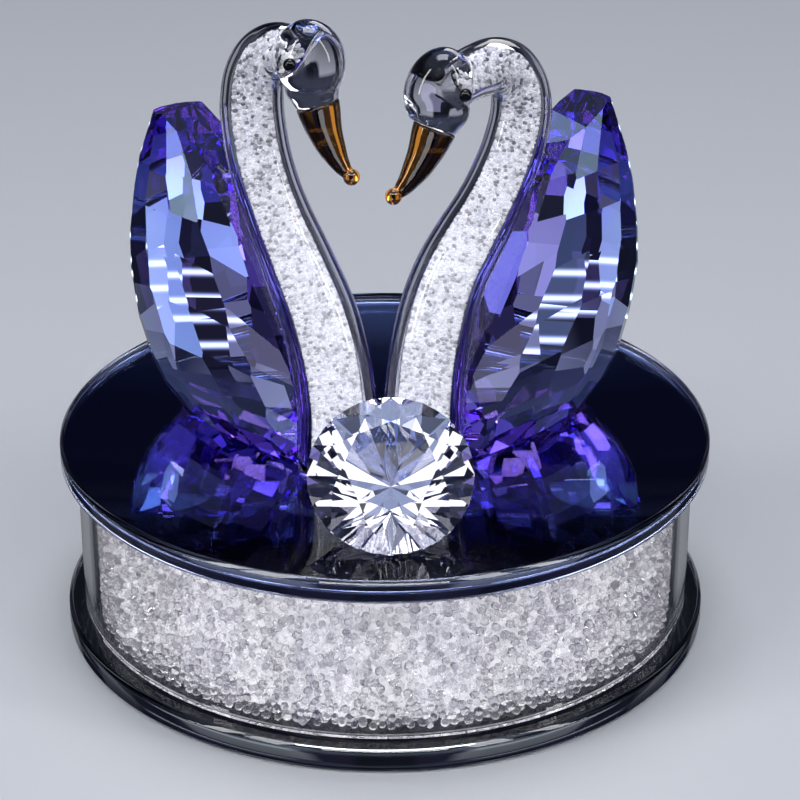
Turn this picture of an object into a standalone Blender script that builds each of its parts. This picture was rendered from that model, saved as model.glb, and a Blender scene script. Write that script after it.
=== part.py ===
# Crystal swan couple on a round drum of crystal chips.
# Units are metres and +Z is up. The origin is the centre of the base's underside,
# and -Y is the front, where the cut glass diamond stands.

import math

import bmesh
import bpy
from mathutils import Matrix, Vector

OBJECT_NAME = "crystal_swan_couple"

# Gap left between two pieces that touch or are glued
GLUE_GAP = 0.0003

# Drum base
PLATE_DIAMETER = 0.120
BOTTOM_PLATE_THICKNESS = 0.0046
TOP_PLATE_THICKNESS = 0.0044
PLATE_CHAMFER = 0.0007
PLATE_OVERHANG = 0.003
DRUM_WALL = 0.0024
DRUM_HEIGHT = 0.0281
ROUND_SIDES = 72

# Cut glass diamond, lying on its culet and one pavilion facet
DIAMOND_DIAMETER = 0.0286
DIAMOND_GIRDLE = 0.0006
DIAMOND_TABLE_SHARE = 0.56
DIAMOND_FRONT_MARGIN = 0.0084
DIAMOND_TO_NECKS = 0.0028
DIAMOND_OFFSET_X = 0.0012
CROWN_ANGLE = math.radians(34.5)
STAR_ANGLE = math.radians(21.0)
PAVILION_ANGLE = math.radians(41.5)
LOWER_GIRDLE_SHARE = 0.76
DIAMOND_FOLD = 8
GIRDLE_SIDES = 32

# Swans
SWAN_HEIGHT = 0.082
NECK_ROOT_GAP = 0.0012
NECK_MIDLINE_X = -0.0006
SWAN_HEADING = math.radians(45.0)
EYE_DIAMETER = 0.0023
BEAK_BALL_DIAMETER = 0.0029
BODY_COLUMNS = 14
NECK_SIDES = 18
BEAK_SIDES = 14

# Heights of the rows of facets on a body, in hundredths of the swan's height
BODY_ROWS = (2.4, 9.1, 17.7, 28.0, 39.0, 48.2, 56.1, 64.0)
# Every second column of facets touches the body this much higher or lower
ROW_STAGGER = 0.9

# The body's outline from the side and from above, in hundredths of the swan's height
# and measured from the neck's root: height, breast, stern, half width
BODY_SECTIONS = (
    (-1.2, -1.4, -48.8, 4.6),
    (0.0, -1.0, -50.6, 5.6),
    (8.5, 0.5, -56.7, 10.7),
    (22.0, -4.0, -60.7, 14.1),
    (36.6, -13.2, -61.7, 14.9),
    (51.2, -23.4, -59.8, 13.2),
    (61.0, -31.8, -57.7, 10.0),
    (72.0, -43.6, -53.9, 5.1),
)

# Middle of the tail's table behind the neck's root, and how the two facets on top lean
TAIL_BACK = 48.8
TAIL_TABLE_LEAN = math.radians(12.0)
TAIL_FRONT_LEAN = math.radians(27.0)

# Below 1 the breast is blunter than an ellipse
BREAST_BLUNTNESS = 0.8

# The groove that seats the neck follows this many points of the neck's line and
# starts this far below the plate's top
NECK_SEAT_POINTS = 9
NECK_SEAT_DROP = 4.0

# Beak, seen from the side, in hundredths of the swan's height: distance along the
# face's axis, rise across it, and radius
BEAK_LINE = (
    (0.0, 0.0, 4.6),
    (5.4, 0.1, 3.7),
    (10.2, 0.9, 2.75),
    (14.0, 2.2, 1.75),
    (16.0, 3.5, 1.2),
)

# How far in front of the beak's root the head is ground away
BEAK_SEAT_DEPTH = 8.0

# The clear face behind the beak: distance back from the beak's root, and swell
FACE_STUB = ((6.5, 1.15), (4.0, 1.25), (1.8, 1.12), (0.0, 1.0))

# The pose of each swan, in hundredths of its height and measured from the neck's root.
# neck: forward, height, radius. head: forward, height. beak_root: forward, height,
# from the head's centre. eye: along the head's axis and across it, from its centre.
# head_turn: how far the head is turned towards the other swan. tail_front: from the
# middle of the tail's table to the facet in front of it.
SWANS = {
    "left_swan": {
        "faces": 1,
        "neck": (
            (0.0, 0.0, 8.65),
            (-0.3, 17.2, 8.6),
            (-4.2, 32.4, 8.5),
            (-11.6, 45.3, 7.9),
            (-17.9, 55.0, 7.2),
            (-22.4, 64.0, 7.0),
            (-24.6, 72.4, 6.9),
            (-25.0, 79.0, 6.75),
            (-23.2, 86.1, 6.3),
            (-19.2, 90.5, 5.9),
            (-15.0, 92.0, 5.7),
            (-9.8, 92.3, 5.0),
        ),
        "head": (-6.8, 91.8),
        "head_half_length": 8.5,
        "head_radius": 7.3,
        "head_tilt": math.radians(75.0),
        "head_turn": math.radians(17.0),
        "beak_root": (1.5, -9.0),
        "beak_tilt": math.radians(74.0),
        "eye": (-1.2, -0.3),
        "body_shift": 0.0,
        "tail_top": 71.0,
        "tail_front": 0.5,
        "tail_lift": 0.0,
    },
    "right_swan": {
        "faces": -1,
        "neck": (
            (0.0, 0.0, 8.65),
            (0.0, 17.5, 8.6),
            (-2.9, 33.1, 8.5),
            (-7.4, 43.3, 8.1),
            (-12.8, 49.8, 7.7),
            (-18.7, 56.0, 7.1),
            (-23.7, 62.5, 6.85),
            (-27.4, 69.4, 6.7),
            (-29.0, 76.6, 6.5),
            (-27.2, 82.9, 6.1),
            (-22.4, 87.0, 5.8),
            (-16.1, 87.6, 5.7),
            (-7.5, 86.4, 5.1),
        ),
        "head": (-3.6, 86.6),
        "head_half_length": 8.7,
        "head_radius": 6.8,
        "head_tilt": math.radians(64.0),
        "head_turn": math.radians(17.0),
        "beak_root": (0.6, -8.2),
        "beak_tilt": math.radians(66.5),
        "eye": (-1.2, -2.6),
        "body_shift": -2.2,
        "tail_top": 73.0,
        "tail_front": -1.0,
        "tail_lift": math.radians(0.8),
    },
}

COLOURS = {
    "clear_glass": ((0.86, 0.90, 0.90, 1.0), 0.05),
    "mirror_glass": ((0.05, 0.06, 0.12, 1.0), 0.03),
    "crystal_chips": ((0.80, 0.80, 0.82, 1.0), 0.25),
    "blue_crystal": ((0.16, 0.15, 0.62, 1.0), 0.04),
    "neck_glass": ((0.72, 0.72, 0.80, 1.0), 0.04),
    "amber_glass": ((0.75, 0.33, 0.03, 1.0), 0.08),
    "black_glass": ((0.01, 0.01, 0.01, 1.0), 0.08),
    "diamond_crystal": ((0.90, 0.92, 0.95, 1.0), 0.02),
}

PLATE_RADIUS = PLATE_DIAMETER / 2
DRUM_RADIUS = PLATE_RADIUS - PLATE_OVERHANG
DRUM_FLOOR = BOTTOM_PLATE_THICKNESS + GLUE_GAP
TOP_PLATE_FLOOR = DRUM_FLOOR + DRUM_HEIGHT + GLUE_GAP
BASE_TOP = TOP_PLATE_FLOOR + TOP_PLATE_THICKNESS
STAND_HEIGHT = BASE_TOP + GLUE_GAP
UNIT = SWAN_HEIGHT / 100
DIAMOND_FRONT_Y = -PLATE_RADIUS + DIAMOND_FRONT_MARGIN
DIAMOND_BACK_Y = DIAMOND_FRONT_Y + DIAMOND_DIAMETER * math.cos(PAVILION_ANGLE)


def clear_scene():
    for thing in list(bpy.data.objects):
        bpy.data.objects.remove(thing, do_unlink=True)
    for group in list(bpy.data.collections):
        bpy.data.collections.remove(group)


def new_collection(name):
    group = bpy.data.collections.new(name)
    bpy.context.scene.collection.children.link(group)
    return group


def move_to(thing, group):
    for old in list(thing.users_collection):
        old.objects.unlink(thing)
    group.objects.link(thing)


def give_material(thing, colour_name):
    colour, roughness = COLOURS[colour_name]
    material = bpy.data.materials.new(thing.name + "_" + colour_name)
    material.use_nodes = True
    shader = material.node_tree.nodes["Principled BSDF"]
    shader.inputs["Base Color"].default_value = colour
    shader.inputs["Roughness"].default_value = roughness
    shader.inputs["Metallic"].default_value = 0.0
    material.diffuse_color = colour
    thing.data.materials.clear()
    thing.data.materials.append(material)


def finish_piece(thing, name, colour_name, parent=None, smooth_angle=None):
    thing.name = name
    thing.data.name = name
    move_to(thing, PARTS)
    if parent is not None:
        thing.parent = parent
    give_material(thing, colour_name)
    if smooth_angle is not None:
        thing.data.shade_smooth()
        thing.data.set_sharp_from_angle(angle=smooth_angle)
    return thing


def make_cutter(thing, name, parent=None):
    thing.name = name
    move_to(thing, CUTTERS)
    thing.hide_render = True
    thing.display_type = "WIRE"
    if parent is not None:
        thing.parent = parent
    return thing


def object_from_bmesh(bm, name):
    mesh = bpy.data.meshes.new(name)
    bm.to_mesh(mesh)
    bm.free()
    thing = bpy.data.objects.new(name, mesh)
    bpy.context.scene.collection.objects.link(thing)
    return thing


def add_boolean(thing, other, operation):
    cut = thing.modifiers.new(other.name, "BOOLEAN")
    cut.operation = operation
    cut.solver = "EXACT"
    cut.object = other


# Round base

def round_plate(name, floor, thickness, colour_name):
    bpy.ops.mesh.primitive_cylinder_add(
        vertices=ROUND_SIDES, radius=PLATE_RADIUS, depth=thickness,
        location=(0, 0, floor + thickness / 2))
    plate = bpy.context.object
    edge = plate.modifiers.new("polished chamfer", "BEVEL")
    edge.width = PLATE_CHAMFER
    edge.segments = 1
    edge.limit_method = "ANGLE"
    edge.angle_limit = math.radians(60)
    return finish_piece(plate, name, colour_name)


def drum_wall():
    bpy.ops.mesh.primitive_cylinder_add(
        vertices=ROUND_SIDES, radius=DRUM_RADIUS, depth=DRUM_HEIGHT, end_fill_type="NOTHING",
        location=(0, 0, DRUM_FLOOR + DRUM_HEIGHT / 2))
    wall = bpy.context.object
    shell = wall.modifiers.new("glass wall", "SOLIDIFY")
    shell.thickness = DRUM_WALL
    shell.offset = -1
    shell.use_even_offset = True
    finish_piece(wall, "drum_wall", "clear_glass", smooth_angle=math.radians(40))


def drum_chips():
    bpy.ops.mesh.primitive_cylinder_add(
        vertices=ROUND_SIDES, radius=DRUM_RADIUS - DRUM_WALL - GLUE_GAP, depth=DRUM_HEIGHT,
        location=(0, 0, DRUM_FLOOR + DRUM_HEIGHT / 2))
    finish_piece(bpy.context.object, "drum_crystal_chips", "crystal_chips",
                 smooth_angle=math.radians(40))


# Cut crystal: a solid is ground down by one flat facet after another

def grind_facet(bm, point, normal, tolerance=1e-6):
    everything = bm.verts[:] + bm.edges[:] + bm.faces[:]
    result = bmesh.ops.bisect_plane(
        bm, geom=everything, dist=tolerance, plane_co=point, plane_no=normal, clear_outer=True)
    rim = [part for part in result["geom_cut"] if isinstance(part, bmesh.types.BMEdge)]
    open_rim = [edge for edge in rim if edge.is_boundary]
    if open_rim:
        bmesh.ops.holes_fill(bm, edges=open_rim, sides=0)


def close_facets(bm, weld=2e-5):
    bmesh.ops.remove_doubles(bm, verts=bm.verts[:], dist=weld)
    bmesh.ops.dissolve_limit(
        bm, angle_limit=math.radians(0.3), verts=bm.verts[:], edges=bm.edges[:])
    bmesh.ops.recalc_face_normals(bm, faces=bm.faces[:])


def on_circle(radius, angle, height):
    return Vector((radius * math.cos(angle), radius * math.sin(angle), height))


def plane_normal(first, second, third):
    normal = (second - first).cross(third - first).normalized()
    centre_line = Vector((0, 0, 0.25 * (first.z + second.z + third.z)))
    if normal.dot(first - centre_line) < 0:
        normal.negate()
    return normal


def diamond():
    radius = DIAMOND_DIAMETER / 2
    step = 2 * math.pi / DIAMOND_FOLD
    half = step / 2
    table_radius = DIAMOND_TABLE_SHARE * radius
    girdle_top = DIAMOND_GIRDLE / 2
    table_height = girdle_top + (radius - table_radius) * math.tan(CROWN_ANGLE)
    culet_depth = girdle_top + radius * math.tan(PAVILION_ANGLE)

    # Where two crown mains and the star between them meet
    main_reach = radius * math.sin(CROWN_ANGLE) + girdle_top * math.cos(CROWN_ANGLE)
    star_reach = (table_radius * math.cos(half) * math.sin(STAR_ANGLE)
                  + table_height * math.cos(STAR_ANGLE))
    slope_main = math.cos(half) * math.sin(CROWN_ANGLE)
    determinant = (slope_main * math.cos(STAR_ANGLE)
                   - math.sin(STAR_ANGLE) * math.cos(CROWN_ANGLE))
    kite_radius = (main_reach * math.cos(STAR_ANGLE)
                   - star_reach * math.cos(CROWN_ANGLE)) / determinant
    kite_height = (slope_main * star_reach - math.sin(STAR_ANGLE) * main_reach) / determinant

    # Where two pavilion mains and their lower girdle facets meet
    lower_radius = radius * (1 - LOWER_GIRDLE_SHARE)
    lower_height = -culet_depth + lower_radius * math.cos(half) * math.tan(PAVILION_ANGLE)

    bm = bmesh.new()
    bmesh.ops.create_cone(
        bm, cap_ends=True, segments=GIRDLE_SIDES, radius1=radius, radius2=radius,
        depth=2 * culet_depth)
    grind_facet(bm, Vector((0, 0, table_height)), Vector((0, 0, 1)))
    for turn in range(DIAMOND_FOLD):
        main = turn * step
        middle = main + half
        crown_main = Vector((math.cos(main) * math.sin(CROWN_ANGLE),
                             math.sin(main) * math.sin(CROWN_ANGLE), math.cos(CROWN_ANGLE)))
        grind_facet(bm, on_circle(radius, main, girdle_top), crown_main)
        pavilion_main = Vector((math.cos(main) * math.sin(PAVILION_ANGLE),
                                math.sin(main) * math.sin(PAVILION_ANGLE),
                                -math.cos(PAVILION_ANGLE)))
        grind_facet(bm, on_circle(radius, main, -girdle_top), pavilion_main)
        star = Vector((math.cos(middle) * math.sin(STAR_ANGLE),
                       math.sin(middle) * math.sin(STAR_ANGLE), math.cos(STAR_ANGLE)))
        grind_facet(bm, on_circle(table_radius, main, table_height), star)
    for turn in range(DIAMOND_FOLD):
        middle = turn * step + half
        kite_corner = on_circle(kite_radius, middle, kite_height)
        lower_corner = on_circle(lower_radius, middle, lower_height)
        for main in (middle - half, middle + half):
            for corner, level in ((kite_corner, girdle_top), (lower_corner, -girdle_top)):
                first = on_circle(radius, main, level)
                second = on_circle(radius, middle, level)
                grind_facet(bm, first, plane_normal(first, second, corner))
    close_facets(bm)

    # Leaned back until a pavilion main lies flat on the plate, that facet to the front
    lean = Matrix.Rotation(PAVILION_ANGLE, 4, "X") @ Matrix.Rotation(-math.pi / 2, 4, "Z")
    bmesh.ops.transform(bm, matrix=lean, verts=bm.verts[:])
    lowest = min(vert.co.z for vert in bm.verts)
    place = Vector((DIAMOND_OFFSET_X, DIAMOND_FRONT_Y + radius * math.cos(PAVILION_ANGLE),
                    STAND_HEIGHT - lowest))
    thing = object_from_bmesh(bm, "diamond")
    thing.location = place
    finish_piece(thing, "diamond", "diamond_crystal")


# Swan shapes, in a frame with +X forward, +Y to the swan's left and +Z up

def smooth_between(table, height):
    """Natural reading of the body's outline table at a height, column by column."""
    heights = [row[0] for row in table]
    last = len(heights) - 2
    index = min(max(sum(1 for value in heights[1:] if value <= height), 0), last)
    before = table[max(index - 1, 0)]
    start = table[index]
    end = table[index + 1]
    after = table[min(index + 2, last + 1)]
    share = (height - start[0]) / (end[0] - start[0])
    values = []
    for column in range(1, len(start)):
        span = end[0] - start[0]
        rise_in = (end[column] - before[column]) / (end[0] - before[0]) * span
        rise_out = (after[column] - start[column]) / (after[0] - start[0]) * span
        square = share * share
        cube = square * share
        values.append((2 * cube - 3 * square + 1) * start[column]
                      + (cube - 2 * square + share) * rise_in
                      + (3 * square - 2 * cube) * end[column]
                      + (cube - square) * rise_out)
    return values


def body_surface(height, angle, shift):
    breast, stern, half_width = smooth_between(BODY_SECTIONS, height)
    middle = (breast + stern) / 2 + shift
    half_length = (breast - stern) / 2
    across = math.sin(angle)
    if math.cos(angle) > 0:
        across = math.copysign(abs(across) ** BREAST_BLUNTNESS, across)
    return Vector((middle + half_length * math.cos(angle), half_width * across,
                   height)) * UNIT


def swan_body(name, pose, place):
    shift = pose["body_shift"]
    small = 0.01
    bm = bmesh.new()
    bmesh.ops.create_cube(bm, size=2 * SWAN_HEIGHT)
    bmesh.ops.translate(bm, vec=Vector((-0.3 * SWAN_HEIGHT, 0, 0)), verts=bm.verts[:])
    lift = Matrix.Rotation(pose["tail_lift"], 4, "Y")
    tail = Vector((shift - TAIL_BACK, 0, pose["tail_top"])) * UNIT
    tail_table = Vector((-math.sin(TAIL_TABLE_LEAN), 0, math.cos(TAIL_TABLE_LEAN)))
    tail_front = Vector((math.sin(TAIL_FRONT_LEAN), 0, math.cos(TAIL_FRONT_LEAN)))
    for level, height in enumerate(BODY_ROWS):
        for column in range(BODY_COLUMNS):
            stagger = ROW_STAGGER if (column + level) % 2 else -ROW_STAGGER
            touch = max(height + stagger, 0.5)
            angle = 2 * math.pi * (column + 0.5) / BODY_COLUMNS
            point = body_surface(touch, angle, shift)
            along = body_surface(touch + small, angle, shift) - body_surface(
                touch - small, angle, shift)
            around = body_surface(touch, angle + small, shift) - body_surface(
                touch, angle - small, shift)
            normal = around.cross(along).normalized()
            grind_facet(bm, lift @ point, lift @ normal)
    grind_facet(bm, lift @ tail, lift @ tail_table)
    grind_facet(bm, lift @ (tail + tail_front * pose["tail_front"] * UNIT), lift @ tail_front)
    grind_facet(bm, Vector((0, 0, 0)), Vector((0, 0, -1)))
    close_facets(bm)
    thing = object_from_bmesh(bm, name + "_body")
    return finish_piece(thing, name + "_body", "blue_crystal", parent=place)


def tube_mesh(name, line, sides, resolution):
    """A round bar along a smooth line of (forward, height, radius) points, as a closed mesh."""
    curve = bpy.data.curves.new(name, "CURVE")
    curve.dimensions = "3D"
    curve.bevel_depth = 1.0
    curve.bevel_resolution = (sides - 4) // 2
    curve.use_fill_caps = True
    curve.resolution_u = resolution
    curve.twist_mode = "MINIMUM"
    spline = curve.splines.new("BEZIER")
    spline.bezier_points.add(len(line) - 1)
    for point, (forward, height, radius) in zip(spline.bezier_points, line):
        point.co = (forward, 0, height)
        point.radius = radius
        point.handle_left_type = "AUTO"
        point.handle_right_type = "AUTO"
    spline.radius_interpolation = "CARDINAL"
    source = bpy.data.objects.new(name, curve)
    bpy.context.scene.collection.objects.link(source)
    graph = bpy.context.evaluated_depsgraph_get()
    mesh = bpy.data.meshes.new_from_object(source.evaluated_get(graph))
    bm = bmesh.new()
    bm.from_mesh(mesh)
    bmesh.ops.remove_doubles(bm, verts=bm.verts[:], dist=1e-6)
    bmesh.ops.recalc_face_normals(bm, faces=bm.faces[:])
    bpy.data.objects.remove(source, do_unlink=True)
    bpy.data.curves.remove(curve)
    bpy.data.meshes.remove(mesh)
    return object_from_bmesh(bm, name)


def scaled_line(points, extra=0.0):
    return [(forward * UNIT, height * UNIT, radius * UNIT + extra)
            for forward, height, radius in points]


def axis_turn(tilt):
    """Turns +Z to point forward and down by the tilt below level."""
    return Matrix.Rotation(math.pi / 2 + tilt, 4, "Y")


def head_bulb(name, pose, head_place):
    bpy.ops.mesh.primitive_uv_sphere_add(segments=NECK_SIDES, ring_count=12, radius=1.0)
    bulb = bpy.context.object
    size = Matrix.Diagonal((pose["head_radius"] * UNIT, pose["head_radius"] * UNIT,
                            pose["head_half_length"] * UNIT, 1))
    bulb.data.transform(axis_turn(pose["head_tilt"]) @ size)
    return make_cutter(bulb, name + "_head_bulb", head_place)


def face_frame(pose):
    """Root of the beak, the face's axis and the direction across it, from the head's centre."""
    axis = Vector((math.cos(pose["beak_tilt"]), 0, -math.sin(pose["beak_tilt"])))
    root = Vector((pose["beak_root"][0], 0, pose["beak_root"][1])) * UNIT
    return root, axis, Vector((-axis.z, 0, axis.x))


def face_stub(name, pose, head_place):
    """The clear glass face that tapers from inside the head to the beak."""
    root, axis, _ = face_frame(pose)
    line = []
    for back, swell in FACE_STUB:
        point = root - axis * back * UNIT
        line.append((point.x, point.z, BEAK_LINE[0][2] * swell * UNIT))
    stub = tube_mesh(name + "_face_stub", line, BEAK_SIDES, 2)
    return make_cutter(stub, name + "_face_stub", head_place)


def beak_seat(name, pose, head_place):
    """Block that grinds the face flat where the beak starts."""
    root, axis, _ = face_frame(pose)
    depth = BEAK_SEAT_DEPTH * UNIT
    bpy.ops.mesh.primitive_cylinder_add(
        vertices=16, radius=2 * BEAK_LINE[0][2] * UNIT, depth=depth)
    block = bpy.context.object
    block.data.transform(axis_turn(pose["beak_tilt"]))
    block.location = root + axis * depth / 2
    return make_cutter(block, name + "_beak_seat", head_place)


def eye_places(pose):
    """Centres of both eye beads, on the skin of the head bulb."""
    along, across = pose["eye"]
    share = (along / pose["head_half_length"]) ** 2 + (across / pose["head_radius"]) ** 2
    side = pose["head_radius"] * math.sqrt(1 - share)
    axis = Vector((math.cos(pose["head_tilt"]), 0, -math.sin(pose["head_tilt"])))
    upward = Vector((-axis.z, 0, axis.x))
    middle = axis * along + upward * across
    return {"right": (middle + Vector((0, -side, 0))) * UNIT,
            "left": (middle + Vector((0, side, 0))) * UNIT}


def eye_ball(radius, centre):
    bpy.ops.mesh.primitive_uv_sphere_add(segments=10, ring_count=7, radius=radius, location=centre)
    return bpy.context.object


def swan_neck(name, pose, place, head_place):
    neck = tube_mesh(name + "_neck", scaled_line(pose["neck"]), NECK_SIDES, 3)
    add_boolean(neck, head_bulb(name, pose, head_place), "UNION")
    add_boolean(neck, face_stub(name, pose, head_place), "UNION")
    add_boolean(neck, beak_seat(name, pose, head_place), "DIFFERENCE")
    for side, centre in eye_places(pose).items():
        socket = eye_ball(EYE_DIAMETER / 2 + GLUE_GAP, centre)
        add_boolean(neck, make_cutter(socket, name + "_" + side + "_eye_socket", head_place),
                    "DIFFERENCE")
    return finish_piece(neck, name + "_neck", "neck_glass", place, math.radians(50))


def swan_beak(name, pose, head_place):
    root, axis, upward = face_frame(pose)
    root = root + axis * GLUE_GAP
    line = []
    for along, across, radius in BEAK_LINE:
        point = root + (axis * along + upward * across) * UNIT
        line.append((point.x, point.z, radius * UNIT))
    beak = tube_mesh(name + "_beak", line, BEAK_SIDES, 3)
    bpy.ops.mesh.primitive_uv_sphere_add(
        segments=12, ring_count=8, radius=BEAK_BALL_DIAMETER / 2,
        location=(line[-1][0], 0, line[-1][1]))
    ball = make_cutter(bpy.context.object, name + "_beak_ball", head_place)
    add_boolean(beak, ball, "UNION")
    finish_piece(beak, name + "_beak", "amber_glass", head_place, math.radians(50))


def swan_eyes(name, pose, head_place):
    for side, centre in eye_places(pose).items():
        bead = eye_ball(EYE_DIAMETER / 2, centre)
        finish_piece(bead, name + "_" + side + "_eye", "black_glass", head_place,
                     math.radians(80))


def swan(name, pose):
    side = pose["faces"]
    place = bpy.data.objects.new(name + "_place", None)
    PARTS.objects.link(place)
    root_radius = pose["neck"][0][2] * UNIT
    place.location = (NECK_MIDLINE_X - side * (root_radius + NECK_ROOT_GAP / 2),
                      DIAMOND_BACK_Y + DIAMOND_TO_NECKS + root_radius, STAND_HEIGHT)
    place.rotation_euler = (0, 0, -SWAN_HEADING if side > 0 else math.pi + SWAN_HEADING)
    body = swan_body(name, pose, place)
    below = (pose["neck"][0][0], -NECK_SEAT_DROP, pose["neck"][0][2])
    seat_line = scaled_line((below,) + pose["neck"][:NECK_SEAT_POINTS], GLUE_GAP)
    seat = tube_mesh(name + "_neck_seat", seat_line, NECK_SIDES, 3)
    add_boolean(body, make_cutter(seat, name + "_neck_seat", place), "DIFFERENCE")
    head_place = bpy.data.objects.new(name + "_head_place", None)
    PARTS.objects.link(head_place)
    head_place.parent = place
    head_place.location = (pose["head"][0] * UNIT, 0, pose["head"][1] * UNIT)
    head_place.rotation_euler = (0, 0, side * pose["head_turn"])
    swan_neck(name, pose, place, head_place)
    swan_beak(name, pose, head_place)
    swan_eyes(name, pose, head_place)


clear_scene()
PARTS = new_collection(OBJECT_NAME)
CUTTERS = new_collection("cutters")
round_plate("bottom_plate", 0.0, BOTTOM_PLATE_THICKNESS, "clear_glass")
drum_wall()
drum_chips()
round_plate("top_plate", TOP_PLATE_FLOOR, TOP_PLATE_THICKNESS, "mirror_glass")
diamond()
for swan_name, swan_pose in SWANS.items():
    swan(swan_name, swan_pose)
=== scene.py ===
import math

import bmesh
import bpy
from mathutils import Matrix, Vector


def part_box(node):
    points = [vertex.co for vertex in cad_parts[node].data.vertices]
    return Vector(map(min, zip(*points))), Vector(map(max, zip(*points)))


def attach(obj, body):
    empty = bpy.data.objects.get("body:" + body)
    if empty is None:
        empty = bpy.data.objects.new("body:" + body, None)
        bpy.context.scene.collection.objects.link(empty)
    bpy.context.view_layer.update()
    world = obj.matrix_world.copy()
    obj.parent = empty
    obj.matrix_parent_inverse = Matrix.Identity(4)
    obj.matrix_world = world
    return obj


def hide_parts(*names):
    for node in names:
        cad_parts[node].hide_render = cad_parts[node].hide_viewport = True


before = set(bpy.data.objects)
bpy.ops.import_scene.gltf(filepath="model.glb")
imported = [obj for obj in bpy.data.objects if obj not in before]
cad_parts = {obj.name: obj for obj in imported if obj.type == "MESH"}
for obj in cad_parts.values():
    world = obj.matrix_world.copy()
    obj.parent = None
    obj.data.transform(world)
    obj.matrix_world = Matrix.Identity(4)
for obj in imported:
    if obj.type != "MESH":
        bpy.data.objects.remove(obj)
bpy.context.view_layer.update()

mm = 0.001
clear = (1.0, 1.0, 1.0, 1.0)
black = (0.0, 0.0, 0.0, 1.0)


# Node maths: a socket that can be added, multiplied and so on as a number can

class Wire:
    def __init__(self, tree, socket):
        self.tree = tree
        self.socket = socket

    def node(self, kind, settings=None, stops=None, out=0, **values):
        made = self.tree.nodes.new(kind)
        for name, value in (settings or {}).items():
            setattr(made, name, value)
        if stops:
            ramp = made.color_ramp
            while len(ramp.elements) < len(stops):
                ramp.elements.new(1.0)
            for element, (place, colour) in zip(ramp.elements, stops):
                element.position = place
                element.color = colour
        for name, value in values.items():
            key = int(name[1:]) if name[0] == "i" and name[1:].isdigit() else name.replace("_", " ")
            if isinstance(value, Wire):
                self.tree.links.new(value.socket, made.inputs[key])
            else:
                made.inputs[key].default_value = value
        return Wire(self.tree, made.outputs[out])

    def math(self, operation, *values):
        inputs = {"i%d" % place: value for place, value in enumerate(values)}
        return self.node("ShaderNodeMath", {"operation": operation}, **inputs)

    def __add__(self, other):
        return self.math("ADD", self, other)

    def __radd__(self, other):
        return self.math("ADD", other, self)

    def __sub__(self, other):
        return self.math("SUBTRACT", self, other)

    def __rsub__(self, other):
        return self.math("SUBTRACT", other, self)

    def __mul__(self, other):
        return self.math("MULTIPLY", self, other)

    def __rmul__(self, other):
        return self.math("MULTIPLY", other, self)

    def __truediv__(self, other):
        return self.math("DIVIDE", self, other)

    def __pow__(self, other):
        return self.math("POWER", self, other)

    def mixed(self, first, second):
        return self.node("ShaderNodeMix", {"data_type": "RGBA"}, out=2, i0=self, i6=first, i7=second)


def newMaterial(name, **values):
    material = bpy.data.materials.new(name)
    material.use_nodes = True
    shader = material.node_tree.nodes["Principled BSDF"]
    for key, value in values.items():
        shader.inputs[key.replace("_", " ")].default_value = value
    return material, shader, Wire(material.node_tree, None)


def objectPlace(wire):
    return wire.node("ShaderNodeTexCoord", out=3)      # Object coordinates


def noiseOn(wire, scale, detail=2.0, roughness=0.5, out=0):
    return wire.node("ShaderNodeTexNoise", out=out, Vector=objectPlace(wire), Scale=scale,
                     Detail=detail, Roughness=roughness)


def feed(wire, shader, name, value):
    wire.tree.links.new(value.socket, shader.inputs[name])


def bumped(wire, shader, height, strength, distance):
    normal = wire.node("ShaderNodeBump", Strength=strength, Distance=distance, Height=height)
    feed(wire, shader, "Normal", normal)


# Studio: camera at the photograph's angle, pale floor, soft lights

studio = {
    "cameraPlace": (2.8 * mm, -440.5 * mm, 256.6 * mm),
    "cameraPitch": 25.97,          # degrees below level
    "lens": 119.3,
    "sensorWidth": 36.0,
    "nearest": 0.01,
    "farthest": 50.0,
    "floorSize": 8.0,
    "floorTone": (0.44, 0.45, 0.47, 1.0),
    "floorRoughness": 0.55,
    "floorDrop": 0.2 * mm,
    "aimHeight": 60 * mm,          # every soft box faces this height above the middle
    "skyDome": (0.34, 0.41, 0.58, 1.0),
    "skyBand": (0.006, 0.007, 0.016, 1.0),
    "skyLow": (0.050, 0.055, 0.080, 1.0),
    "skyUnder": (0.010, 0.011, 0.018, 1.0),
    "panelTone": (0.88, 0.92, 1.02, 1.0),      # upright panels behind the swans
    "panelFront": (0.50, 0.42, 1.10, 1.0),     # and in front of them
    "panelsAround": 8.0,
    "panelBase": 0.25,
    "panelGain": 0.30,             # extra brightness of the panels straight ahead and behind
    "louvres": 12,
    "louvreEdge": 8.0,             # higher for thinner bright slats
    "exposure": 0.0,
}

ice = (0.50, 0.72, 1.0)
lilac = (0.70, 0.68, 1.0)
white = (1.0, 1.0, 1.0)

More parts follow.
